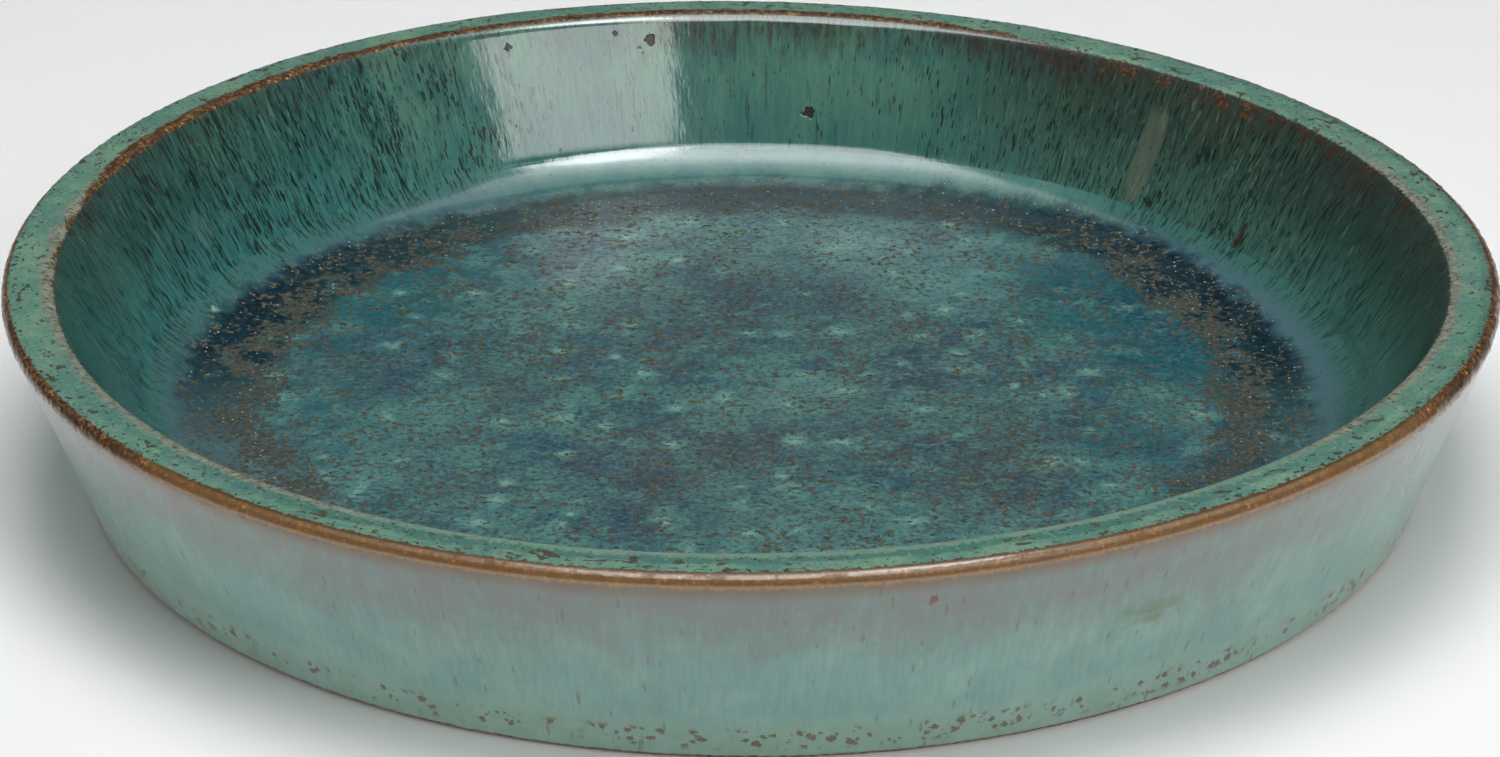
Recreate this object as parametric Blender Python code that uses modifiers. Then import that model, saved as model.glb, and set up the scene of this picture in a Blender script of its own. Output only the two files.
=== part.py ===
"""Shallow stoneware plant bowl: one turned clay body and the glaze coats fired onto its four faces.

The finished surface is a single turned outline, given by its corners and their roundings.
Each coat follows a stretch of that outline. The clay is sunk by the coat under it, and stands
flush where it stays bare: the two lips of the rim, the line above the foot, and the underside.
Lengths are in metres, +Z is up, and the origin is the centre of the face that the bowl stands on.
"""
import math

import bpy
from mathutils import Matrix, Vector

MM = 0.001

# Rim
RIM_RADIUS = 190.0 * MM
BOWL_HEIGHT = 55.0 * MM
RIM_WIDTH = 13.0 * MM
OUTER_LIP_ROUNDING = 3.0 * MM
INNER_LIP_ROUNDING = 4.5 * MM

# Outer wall, which leans out from a soft crease above the heel
OUTER_FLARE = 14.4 * MM
CREASE_HEIGHT = 12.8 * MM
CREASE_ROUNDING = 12.0 * MM
HEEL_DRAW_IN = 4.0 * MM
HEEL_ROUNDING = 2.5 * MM
GLAZE_LINE_HEIGHT = 2.4 * MM

# Inside, from the flat floor up the cove to the wall
FLOOR_HEIGHT = 14.5 * MM
INNER_FLARE = 19.6 * MM
COVE_WIDTH = 8.2 * MM
COVE_RISE = 7.0 * MM
COVE_ROUNDING = 25.0 * MM
COVE_TOP_ROUNDING = 7.0 * MM

# Underside, a foot ring around a shallow recess
FOOT_RING_WIDTH = 15.0 * MM
FOOT_RING_ROUNDING = 1.5 * MM
RECESS_DEPTH = 3.0 * MM
RECESS_SLOPE_WIDTH = 3.0 * MM
RECESS_ROUNDING = 2.0 * MM

# Glaze coats
COAT_THICKNESS = 0.8 * MM
BOND_GAP = 0.3 * MM

# Facets around the axis, and the largest turn of one facet along a rounding
TURNING_STEPS = 72
ROUNDING_STEP = math.radians(16.0)
SMOOTH_ANGLE = math.radians(40.0)
MERGE_DISTANCE = 0.01 * MM


def lip_corner(crease, rim_radius, height, rounding):
    """Corner where the outer wall meets the rim plane, once its rounding reaches rim_radius.

    The wall is the tangent from the crease to the rounding's circle.
    """
    centre = Vector((rim_radius - rounding, height - rounding))
    reach = centre - crease
    slope = math.atan2(reach.y, reach.x) - math.asin(rounding / reach.length)
    return Vector((crease.x + (height - crease.y) / math.tan(slope), height))


def corner_turn(before, corner, after):
    """Angle by which the path turns at a corner, positive to the right."""
    return (corner - before).angle_signed(after - corner)


def fitted_roundings(stops, roundings):
    """The roundings, made smaller where two neighbours would not fit on the length between them.

    A straight of one bond gap stays between neighbours, because a coat may end on it.
    """
    setbacks = [0.0]
    for before, corner, after, rounding in zip(stops, stops[1:], stops[2:], roundings):
        setbacks.append(rounding * math.tan(abs(corner_turn(before, corner, after)) / 2))
    setbacks.append(0.0)
    shares = []
    for start, end, first, second in zip(stops, stops[1:], setbacks, setbacks[1:]):
        room = (end - start).length - BOND_GAP
        shares.append(min(1.0, room / (first + second)))
    return [rounding * min(pair) for rounding, pair in zip(roundings, zip(shares, shares[1:]))]


def rounded_corner(before, corner, after, rounding):
    """Arc that rounds a corner, as points from its first tangent to its second."""
    turn = corner_turn(before, corner, after)
    incoming = (corner - before).normalized()
    start = corner - incoming * (rounding * math.tan(abs(turn) / 2))
    side = Vector((-incoming.y, incoming.x)) * math.copysign(rounding, -turn)
    centre = start + side
    steps = max(1, math.ceil(abs(turn) / ROUNDING_STEP))
    points = []
    for step in range(steps + 1):
        spoke = Matrix.Rotation(-turn * step / steps, 2) @ -side
        points.append(centre + spoke)
    return points


def sunk(path, depth):
    """The path moved to its right, which is into the clay, by one depth."""
    normals = []
    for start, end in zip(path, path[1:]):
        direction = (end - start).normalized()
        normals.append(Vector((direction.y, -direction.x)))
    moved = [path[0] + normals[0] * depth]
    for point, before, after in zip(path[1:-1], normals, normals[1:]):
        mitre = (before + after).normalized()
        moved.append(point + mitre * (depth / mitre.dot(before)))
    moved.append(path[-1] + normals[-1] * depth)
    return moved


def drawn_back(path, at_start, at_end):
    """The path with its two ends pulled in by the given lengths."""
    first = path[0] + (path[1] - path[0]).normalized() * at_start
    last = path[-1] + (path[-2] - path[-1]).normalized() * at_end
    return [first] + path[1:-1] + [last]


def finished_outline():
    """Stretches of the finished surface, in order from the floor's centre to the underside's centre."""
    crease = Vector((RIM_RADIUS - OUTER_FLARE, CREASE_HEIGHT))
    heel_radius = crease.x - HEEL_DRAW_IN
    foot_inner_radius = heel_radius - FOOT_RING_WIDTH
    inner_lip_radius = RIM_RADIUS - RIM_WIDTH
    cove_top_radius = inner_lip_radius - INNER_FLARE
    corners = (
        (Vector((cove_top_radius - COVE_WIDTH, FLOOR_HEIGHT)), COVE_ROUNDING),
        (Vector((cove_top_radius, FLOOR_HEIGHT + COVE_RISE)), COVE_TOP_ROUNDING),
        (Vector((inner_lip_radius, BOWL_HEIGHT)), INNER_LIP_ROUNDING),
        (lip_corner(crease, RIM_RADIUS, BOWL_HEIGHT, OUTER_LIP_ROUNDING), OUTER_LIP_ROUNDING),
        (crease, CREASE_ROUNDING),
        (Vector((heel_radius, 0.0)), HEEL_ROUNDING),
        (Vector((foot_inner_radius, 0.0)), FOOT_RING_ROUNDING),
        (Vector((foot_inner_radius - RECESS_SLOPE_WIDTH, RECESS_DEPTH)), RECESS_ROUNDING),
    )
    floor_centre = Vector((0.0, FLOOR_HEIGHT))
    recess_centre = Vector((0.0, RECESS_DEPTH))
    stops = [floor_centre] + [corner for corner, _ in corners] + [recess_centre]
    roundings = fitted_roundings(stops, [rounding for _, rounding in corners])
    arcs = []
    for index, rounding in enumerate(roundings):
        arcs.append(rounded_corner(*stops[index:index + 3], rounding))
    cove, cove_top, inner_lip, outer_lip, crease_bend, heel, foot_edge, recess_edge = arcs
    heel_line = heel[0] - crease_bend[-1]
    share = (GLAZE_LINE_HEIGHT - crease_bend[-1].y) / heel_line.y
    glaze_line = crease_bend[-1] + heel_line * share
    return {
        "floor": [floor_centre] + cove,
        "inner_wall": [cove[-1]] + cove_top + [inner_lip[0]],
        "inner_lip": inner_lip,
        "rim": [inner_lip[-1], outer_lip[0]],
        "outer_lip": outer_lip,
        "outer_wall": [outer_lip[-1]] + crease_bend + [glaze_line],
        "underside": [glaze_line] + heel + foot_edge + recess_edge + [recess_centre],
    }


def clay_profile(outline):
    """Outline of the clay: sunk under each coat, flush where it is bare."""
    depth = COAT_THICKNESS + BOND_GAP
    inside = outline["floor"] + outline["inner_wall"][1:]
    return (
        sunk(inside, depth)
        + outline["inner_lip"]
        + sunk(outline["rim"], depth)
        + outline["outer_lip"]
        + sunk(outline["outer_wall"], depth)
        + outline["underside"]
    )


def coat_profile(stretch, at_start=BOND_GAP, at_end=BOND_GAP):
    """Outline of a coat: the finished surface, and the coat's back on the way home."""
    face = drawn_back(stretch, at_start, at_end)
    return face + sunk(face, COAT_THICKNESS)[::-1]


def plain_material(name, colour, roughness):
    """Principled material of one colour and roughness, not metallic."""
    material = bpy.data.materials.new(name)
    material.use_nodes = True
    shader = material.node_tree.nodes["Principled BSDF"]
    shader.inputs["Base Color"].default_value = (*colour, 1.0)
    shader.inputs["Roughness"].default_value = roughness
    shader.inputs["Metallic"].default_value = 0.0
    material.diffuse_color = (*colour, 1.0)
    return material


def turned_object(name, profile, closed, material, collection):
    """Object that turns a profile once around the vertical axis."""
    mesh = bpy.data.meshes.new(name)
    points = [(point.x, 0.0, point.y) for point in profile]
    edges = [(index, index + 1) for index in range(len(points) - 1)]
    if closed:
        edges.append((len(points) - 1, 0))
    mesh.from_pydata(points, edges, [])
    mesh.materials.append(material)
    turned = bpy.data.objects.new(name, mesh)
    collection.objects.link(turned)
    screw = turned.modifiers.new("turning", "SCREW")
    screw.axis = "Z"
    screw.angle = math.tau
    screw.steps = TURNING_STEPS
    screw.render_steps = TURNING_STEPS
    screw.use_merge_vertices = True
    screw.merge_threshold = MERGE_DISTANCE
    screw.use_smooth_shade = True
    return turned


def finish_shading(turned):
    """The evaluated turning as the object's own mesh, smooth except at its edges."""
    graph = bpy.context.evaluated_depsgraph_get()
    mesh = bpy.data.meshes.new_from_object(turned.evaluated_get(graph))
    turned.modifiers.clear()
    turned.data = mesh
    mesh.name = turned.name
    mesh.shade_smooth()
    mesh.set_sharp_from_angle(angle=SMOOTH_ANGLE)


def stoneware_body(outline, collection):
    """The clay body: floor, wall, rim and foot ring in one turned piece, bare and matt."""
    material = plain_material("fired_clay", (0.19, 0.105, 0.045), 0.85)
    return turned_object("stoneware_body", clay_profile(outline), False, material, collection)


def floor_glaze(outline, collection):
    """Pooled glaze on the floor, out to the top of the cove."""
    material = plain_material("floor_glaze", (0.035, 0.13, 0.16), 0.35)
    profile = coat_profile(outline["floor"], at_start=0.0, at_end=BOND_GAP / 2)
    return turned_object("floor_glaze", profile, False, material, collection)


def inner_wall_glaze(outline, collection):
    """Glossy glaze of the inner wall, from the cove to the bare inner lip."""
    material = plain_material("inner_wall_glaze", (0.045, 0.16, 0.13), 0.12)
    profile = coat_profile(outline["inner_wall"], at_start=BOND_GAP / 2)
    return turned_object("inner_wall_glaze", profile, True, material, collection)


def rim_glaze(outline, collection):
    """Flat ring of glaze between the rim's two bare lips."""
    material = plain_material("rim_glaze", (0.10, 0.33, 0.24), 0.2)
    return turned_object("rim_glaze", coat_profile(outline["rim"]), True, material, collection)


def outer_wall_glaze(outline, collection):
    """Glaze of the outer wall, from the bare outer lip to the line above the foot."""
    material = plain_material("outer_wall_glaze", (0.18, 0.28, 0.25), 0.18)
    return turned_object("outer_wall_glaze", coat_profile(outline["outer_wall"]), True, material, collection)


def main():
    for item in list(bpy.data.objects):
        bpy.data.objects.remove(item, do_unlink=True)
    collection = bpy.data.collections.new("shallow_plant_bowl")
    bpy.context.scene.collection.children.link(collection)
    outline = finished_outline()
    for make in (stoneware_body, floor_glaze, inner_wall_glaze, rim_glaze, outer_wall_glaze):
        finish_shading(make(outline, collection))


main()
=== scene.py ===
"""Looks of the shallow plant bowl: its glazes, its bare clay, and a pale studio around it.

The bowl's surface is one turned outline, warped a little as a hand-made bowl is. A point on it is
given by its run, which is the length along the outline from the floor's centre outwards, and by its
azimuth, which is 0 at +X and grows towards +Y, away from the camera. Lengths are in millimetres
here. Meshes, lamps and the camera take them in metres.
"""
import functools
import itertools
import math
from collections import namedtuple

import bpy
import numpy as np
from mathutils import Euler, Matrix, Vector


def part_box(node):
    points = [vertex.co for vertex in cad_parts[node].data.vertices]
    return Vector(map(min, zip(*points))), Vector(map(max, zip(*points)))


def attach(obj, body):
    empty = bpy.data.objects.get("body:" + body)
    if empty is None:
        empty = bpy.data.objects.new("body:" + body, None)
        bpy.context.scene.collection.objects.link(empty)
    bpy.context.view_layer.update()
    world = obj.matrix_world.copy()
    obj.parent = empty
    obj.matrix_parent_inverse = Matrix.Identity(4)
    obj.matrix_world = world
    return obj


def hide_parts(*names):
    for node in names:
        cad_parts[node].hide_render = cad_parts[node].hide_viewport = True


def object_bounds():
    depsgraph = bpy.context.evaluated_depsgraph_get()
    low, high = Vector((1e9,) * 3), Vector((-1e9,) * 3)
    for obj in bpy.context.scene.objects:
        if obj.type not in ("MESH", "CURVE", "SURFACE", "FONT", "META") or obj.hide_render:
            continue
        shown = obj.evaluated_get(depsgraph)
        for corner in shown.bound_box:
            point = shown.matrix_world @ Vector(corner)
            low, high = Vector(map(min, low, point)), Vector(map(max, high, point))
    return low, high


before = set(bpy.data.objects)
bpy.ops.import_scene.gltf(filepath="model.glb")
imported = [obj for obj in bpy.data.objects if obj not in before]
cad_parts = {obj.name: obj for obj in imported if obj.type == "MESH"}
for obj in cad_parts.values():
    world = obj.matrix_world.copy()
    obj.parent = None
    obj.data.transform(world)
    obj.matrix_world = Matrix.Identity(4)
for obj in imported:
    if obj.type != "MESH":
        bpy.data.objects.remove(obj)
cad_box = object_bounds()

MM = 0.001

# Outline. The overall sizes come from the model, and the rest repeat the model's own, but for the
# crease at the top of the cove, which is crisper here.
COAT_THICKNESS = 0.8
BOND_GAP = 0.3
RIM_RADIUS = cad_box[1].x / MM
BOWL_HEIGHT = cad_box[1].z / MM
FLOOR_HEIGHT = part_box("floor_glaze")[0].z / MM + COAT_THICKNESS
RIM_WIDTH = 13.0
OUTER_LIP_ROUNDING = 3.0
INNER_LIP_ROUNDING = 4.5
OUTER_FLARE = 14.4
CREASE_HEIGHT = 12.8
CREASE_ROUNDING = 12.0
HEEL_DRAW_IN = 4.0
HEEL_ROUNDING = 2.5
GLAZE_LINE_HEIGHT = 2.4
INNER_FLARE = 19.6
COVE_WIDTH = 8.2
COVE_RISE = 7.0
COVE_ROUNDING = 25.0
COVE_TOP_ROUNDING = 3.0
FOOT_RING_WIDTH = 15.0
FOOT_RING_ROUNDING = 1.5
RECESS_DEPTH = 3.0
RECESS_SLOPE_WIDTH = 3.0
RECESS_ROUNDING = 2.0
OUTLINE_STEP = 0.1

# Hand-made shape of the rim, as waves round the bowl with their cosine and sine parts
RIM_LIFT = ((1, -0.63, 0.0), (2, -0.29, -1.24))
RIM_SPREAD = ((1, -0.88, -0.11), (2, 0.51, -0.19))

# Vertices round the bowl, halved towards the middle where they would lie closer than a spacing
FULL_TURN = 1600
SMALLEST_TURN = 25
FLOOR_SPACING = 1.3
UNDERSIDE_SPACING = 3.0
HIDDEN_SPACING = 8.0

# Steps along the outline from one ring of vertices to the next
FLOOR_STEP = 1.1
LIP_STEP = 0.35
HEEL_STEP = 0.4
FOOT_STEP = 0.8
RECESS_STEP = 4.0

# Heights of the grain where the clay is bare
OUTER_LIP_GRAIN = 0.16
INNER_LIP_GRAIN = 0.06
FOOT_GRAIN = 0.10

# Radius at which lengths round the bowl are true in a material
MEAN_RADIUS = 175.0

# Azimuths in degrees
FRONT = -90
BACK = 90
LEFT = 180
RIGHT = 0

# Turn between two faces past which an edge is sharp
SHARP_ANGLE = math.radians(60.0)

# Keys that scatter the noise's values over its cells
CORNER_KEYS = (73856093, 19349663, 83492791)
SEED_KEY = 2654435761
MIXING_KEY = 1274126177
HALF_RANGE = 32767.5

# Gloss of a glaze, and the share of its bumps that its coat shows
GLAZE_IOR = 1.6
GLAZE_SPECULAR = 0.15
COAT_BUMP = 0.25

# Levels between which a noise about 0.5 is stretched into drifts
DRIFT_LIMITS = (0.39, 0.61)


class Outline:
    """A path of rounded corners, read by its run."""

    def __init__(self, stops):
        points = [np.array(stops[0][1])]
        spans = {}
        for (_, before, _), (name, corner, rounding), (_, after, _) in zip(stops, stops[1:], stops[2:]):
            arc = self.rounded_corner(np.array(before), np.array(corner), np.array(after), rounding)
            spans[name] = (len(points), len(points) + len(arc) - 1)
            points += arc
        points.append(np.array(stops[-1][1]))
        path = np.array(points)
        lengths = np.hypot(*np.diff(path, axis=0).T)
        self.run = np.concatenate([[0.0], np.cumsum(lengths)])
        self.radius, self.height = path.T
        self.starts = {name: self.run[first] for name, (first, _) in spans.items()}
        self.ends = {name: self.run[last] for name, (_, last) in spans.items()}
        self.total = self.run[-1]

    @staticmethod
    def rounded_corner(before, corner, after, rounding):
        """Points of the arc that rounds a corner."""
        incoming = (corner - before) / np.hypot(*(corner - before))
        outgoing = (after - corner) / np.hypot(*(after - corner))
        across = incoming[0] * outgoing[1] - incoming[1] * outgoing[0]
        turn = math.atan2(across, incoming @ outgoing)
        start = corner - incoming * rounding * math.tan(abs(turn) / 2)
        side = np.array([-incoming[1], incoming[0]]) * math.copysign(rounding, turn)
        steps = max(2, math.ceil(rounding * abs(turn) / OUTLINE_STEP))
        arc = []
        for angle in np.linspace(0.0, turn, steps + 1):
            spin = np.array([[math.cos(angle), -math.sin(angle)], [math.sin(angle), math.cos(angle)]])
            arc.append(start + side - spin @ side)
        return arc

    def place(self, run):
        """Radius and height at a run."""
        return np.interp(run, self.run, self.radius), np.interp(run, self.run, self.height)

    def normal(self, run):
        """Radial and vertical parts of the direction out of the clay at a run."""
        after = np.array(self.place(min(run + OUTLINE_STEP, self.total)))
        before = np.array(self.place(max(run - OUTLINE_STEP, 0.0)))
        along = (after - before) / np.hypot(*(after - before))
        return -along[1], along[0]

    def run_at_height(self, height, name):
        """Run on the straight after a named corner, where the outline has a height."""
        first = np.searchsorted(self.run, self.ends[name])
        share = (height - self.height[first]) / (self.height[first + 1] - self.height[first])
        return self.run[first] + share * (self.run[first + 1] - self.run[first])


def outer_lip_corner(crease):
    """Corner of the outer lip, on the tangent from the crease to the lip's rounding."""
    centre = np.array([RIM_RADIUS - OUTER_LIP_ROUNDING, BOWL_HEIGHT - OUTER_LIP_ROUNDING])
    reach = centre - crease
    slope = math.atan2(reach[1], reach[0]) - math.asin(OUTER_LIP_ROUNDING / np.hypot(*reach))
    return crease[0] + (BOWL_HEIGHT - crease[1]) / math.tan(slope), BOWL_HEIGHT


def bowl_outline():
    """The whole surface, from the floor's centre over the rim to the underside's centre."""
    crease = (RIM_RADIUS - OUTER_FLARE, CREASE_HEIGHT)
    heel_radius = crease[0] - HEEL_DRAW_IN
    foot_inner_radius = heel_radius - FOOT_RING_WIDTH
    inner_lip_radius = RIM_RADIUS - RIM_WIDTH
    cove_top_radius = inner_lip_radius - INNER_FLARE
    return Outline((
        ("floor_centre", (0.0, FLOOR_HEIGHT), 0.0),
        ("cove", (cove_top_radius - COVE_WIDTH, FLOOR_HEIGHT), COVE_ROUNDING),
        ("cove_top", (cove_top_radius, FLOOR_HEIGHT + COVE_RISE), COVE_TOP_ROUNDING),
        ("inner_lip", (inner_lip_radius, BOWL_HEIGHT), INNER_LIP_ROUNDING),
        ("outer_lip", outer_lip_corner(crease), OUTER_LIP_ROUNDING),
        ("crease", crease, CREASE_ROUNDING),
        ("heel", (heel_radius, 0.0), HEEL_ROUNDING),
        ("foot", (foot_inner_radius, 0.0), FOOT_RING_ROUNDING),
        ("recess", (foot_inner_radius - RECESS_SLOPE_WIDTH, RECESS_DEPTH), RECESS_ROUNDING),
        ("recess_centre", (0.0, RECESS_DEPTH), 0.0),
    ))


OUTLINE = bowl_outline()
COVE_EDGE = OUTLINE.ends["cove"]
WALL_TOP = OUTLINE.starts["inner_lip"]
RIM_INSIDE = OUTLINE.ends["inner_lip"]
RIM_OUTSIDE = OUTLINE.starts["outer_lip"]
OUTER_TOP = OUTLINE.ends["outer_lip"]
GLAZE_LINE = OUTLINE.run_at_height(GLAZE_LINE_HEIGHT, "crease")
FOOT_EDGE = OUTLINE.ends["foot"]


def smooth_noise(points, cell, seed):
    """Noise from -1 to 1 that changes over cells of a size."""
    scaled = points / cell
    corner = np.floor(scaled).astype(np.int64)
    share = scaled - corner
    share = share * share * (3.0 - 2.0 * share)
    total = np.zeros(points.shape[:-1])
    for offset in itertools.product((0, 1), repeat=3):
        key = ((corner + offset) * CORNER_KEYS).sum(axis=-1) + seed * SEED_KEY
        key = (key ^ (key >> 13)) * MIXING_KEY
        value = ((key ^ (key >> 16)) & 0xFFFF) / HALF_RANGE - 1.0
        total += value * np.where(offset, share, 1.0 - share).prod(axis=-1)
    return total


def window(value, low, high, soft):
    """1 between two limits and 0 outside them, with soft ends."""
    rise = np.clip((value - low) / soft + 0.5, 0.0, 1.0)
    fall = np.clip((high - value) / soft + 0.5, 0.0, 1.0)
    return rise * rise * (3.0 - 2.0 * rise) * fall * fall * (3.0 - 2.0 * fall)


def relief(run, azimuth):
    """Height of the finished surface over the outline."""
    radius, _ = OUTLINE.place(run)
    across, away = np.cos(azimuth) * radius, np.sin(azimuth) * radius
    points = np.stack([across, away, np.full_like(azimuth, run)], axis=-1)
    grain = smooth_noise(points, 1.3, 1) + 0.6 * smooth_noise(points, 0.8, 2)
    outer_edge = window(run, RIM_OUTSIDE + 1.2, OUTER_TOP + 0.2, 1.2)
    in_front = np.clip((np.cos(azimuth + math.radians(85.0)) - 0.7) / 0.2, 0.0, 1.0)
    inner_edge = window(run, RIM_INSIDE - 1.4, RIM_INSIDE + 0.8, 1.6)
    foot = window(run, GLAZE_LINE + 0.3, FOOT_EDGE, 0.8)
    inner_wall = window(run, COVE_EDGE, WALL_TOP, 8.0)
    outer_wall = window(run, OUTER_TOP + 3.0, GLAZE_LINE - 3.0, 5.0)
    lips = OUTER_LIP_GRAIN * outer_edge * (1.0 - 0.75 * in_front) + INNER_LIP_GRAIN * inner_edge
    height = (lips + FOOT_GRAIN * foot) * grain
    height += 0.04 * smooth_noise(points, 9.0, 3) + 0.10 * smooth_noise(points, 26.0, 4)
    height += 0.02 * (inner_wall + outer_wall) * smooth_noise(points * (1.0, 1.0, 0.12), 2.4, 5)
    return height


def waves(azimuth, parts):
    """Sum of waves round the bowl."""
    total = np.zeros_like(azimuth)
    for count, cosine, sine in parts:
        total += cosine * np.cos(count * azimuth) + sine * np.sin(count * azimuth)
    return total


def ring_points(run, depth, count):
    """Points round the bowl at a run, on its finished surface or a depth below the outline."""
    azimuth = np.arange(count) * math.tau / count
    radius, height = OUTLINE.place(run)
    across, up = OUTLINE.normal(run)
    raised = relief(run, azimuth) if depth == 0.0 else np.full(count, -depth)
    share = height / BOWL_HEIGHT
    spread = radius + across * raised + share * waves(azimuth, RIM_SPREAD)
    lifted = np.maximum(height + up * raised + share * waves(azimuth, RIM_LIFT), 0.0)
    return np.stack([spread * np.cos(azimuth), spread * np.sin(azimuth), lifted], axis=-1)


def ring_places(run, count):
    """What the materials read at a ring: a circle of fixed radius, and the run."""
    azimuth = np.arange(count) * math.tau / count
    around = np.stack([np.cos(azimuth), np.sin(azimuth)], axis=-1) * MEAN_RADIUS
    return np.concatenate([around, np.full((count, 1), run)], axis=-1)


Ring = namedtuple("Ring", "run depth spacing")


def rings_along(start, end, step, depth=0.0, spacing=0.0):
    """Rings from one run to another, at most a step apart."""
    runs = np.linspace(start, end, math.ceil(abs(end - start) / step) + 1)
    return [Ring(run, depth, spacing) for run in runs]


def vertex_counts(rings):
    """Vertices in each ring: one at the axis, and elsewhere no less than half of a neighbour's."""
    counts = []
    for ring in rings:
        length = math.tau * OUTLINE.place(ring.run)[0]
        count = FULL_TURN
        while count > SMALLEST_TURN and length / count < ring.spacing / 2:
            count //= 2
        counts.append(count)
    for index in range(1, len(rings)):
        counts[index] = max(counts[index], counts[index - 1] // 2)
    for index in range(len(rings) - 2, -1, -1):
        counts[index] = max(counts[index], counts[index + 1] // 2)
    return [1 if OUTLINE.place(ring.run)[0] < MM else count for ring, count in zip(rings, counts)]


def faces_between(first, second):
    """Faces that join two rings of vertex numbers."""
    after_first = np.roll(first, -1)
    after_second = np.roll(second, -1)
    if len(first) == 1:
        return [(first[0], here, after) for here, after in zip(second, after_second)]
    if len(second) == 1:
        return [(here, second[0], after) for here, after in zip(first, after_first)]
    if len(first) == len(second):
        return list(zip(first, second, after_second, after_first))
    faces = []
    if len(first) < len(second):
        halves = zip(first, after_first, second[::2], second[1::2], after_second[1::2])
        for here, after, low, middle, high in halves:
            faces += [(here, low, middle), (here, middle, after), (after, middle, high)]
    else:
        halves = zip(second, after_second, first[::2], first[1::2], after_first[1::2])
        for here, after, low, middle, high in halves:
            faces += [(here, middle, low), (here, after, middle), (after, high, middle)]
    return faces


def turned_piece(name, rings, closed, material, node):
    """A closed mesh through rings, in place of a node of the model."""
    counts = vertex_counts(rings)
    ends = np.cumsum(counts)
    numbers = [list(range(end - count, end)) for end, count in zip(ends, counts)]
    pairs = list(zip(numbers, numbers[1:]))
    if closed:
        pairs.append((numbers[-1], numbers[0]))
    faces = []
    for first, second in pairs:
        faces += faces_between(first, second)
    sized = list(zip(rings, counts))
    points = np.concatenate([ring_points(ring.run, ring.depth, count) for ring, count in sized])
    places = np.concatenate([ring_places(ring.run, count) for ring, count in sized])
    mesh = bpy.data.meshes.new(name)
    mesh.from_pydata(points * MM, [], faces)
    place = mesh.attributes.new("place", "FLOAT_VECTOR", "POINT")
    place.data.foreach_set("vector", places.astype(np.float32).ravel())
    mesh.materials.append(material)
    mesh.shade_smooth()
    mesh.set_sharp_from_angle(angle=SHARP_ANGLE)
    piece = bpy.data.objects.new(name, mesh)
    bpy.context.scene.collection.objects.link(piece)
    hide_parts(node)
    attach(piece, "root")


def coat_rings(start, end, step):
    """Rings of a coat, along its face and home along its back."""
    return rings_along(start, end, step) + rings_along(end, start, HIDDEN_SPACING, COAT_THICKNESS)


def floor_rings():
    """Rings of the floor's coat, out along its face and home along its back."""
    face = rings_along(0.0, COVE_EDGE - 1.0, FLOOR_STEP, spacing=FLOOR_SPACING)
    edge = [Ring(COVE_EDGE, 0.0, 0.0)]
    return face + edge + rings_along(COVE_EDGE, 0.0, HIDDEN_SPACING, COAT_THICKNESS, HIDDEN_SPACING)


def body_rings():
    """Rings of the clay body: sunk under the coats, and flush elsewhere."""
    sunk = COAT_THICKNESS + BOND_GAP
    heel_end, recess_end = OUTLINE.ends["heel"], OUTLINE.ends["recess"]
    return (
        rings_along(0.0, WALL_TOP + BOND_GAP, HIDDEN_SPACING, sunk, HIDDEN_SPACING)
        + rings_along(WALL_TOP, RIM_INSIDE, LIP_STEP)
        + rings_along(RIM_INSIDE - BOND_GAP, RIM_OUTSIDE + BOND_GAP, HIDDEN_SPACING, sunk)
        + rings_along(RIM_OUTSIDE, OUTER_TOP, LIP_STEP)
        + rings_along(OUTER_TOP - BOND_GAP, GLAZE_LINE + BOND_GAP, HIDDEN_SPACING, sunk, HIDDEN_SPACING)
        + rings_along(GLAZE_LINE, heel_end, HEEL_STEP)
        + rings_along(heel_end + 1.0, recess_end, FOOT_STEP, 0.0, UNDERSIDE_SPACING)
        + rings_along(recess_end + 2.0, OUTLINE.total, RECESS_STEP, 0.0, HIDDEN_SPACING)
    )


def paint(colour):
    """Colour for a shader, from a node or from values of 0 to 255 on a screen."""
    if isinstance(colour, bpy.types.NodeSocket):
        return colour
    linear = []
    for value in colour:
        share = value / 255.0
        linear.append(share / 12.92 if share <= 0.04045 else ((share + 0.055) / 1.055) ** 2.4)
    return (*linear, 1.0)


Look = namedtuple("Look", "colour roughness height coat")


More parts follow.
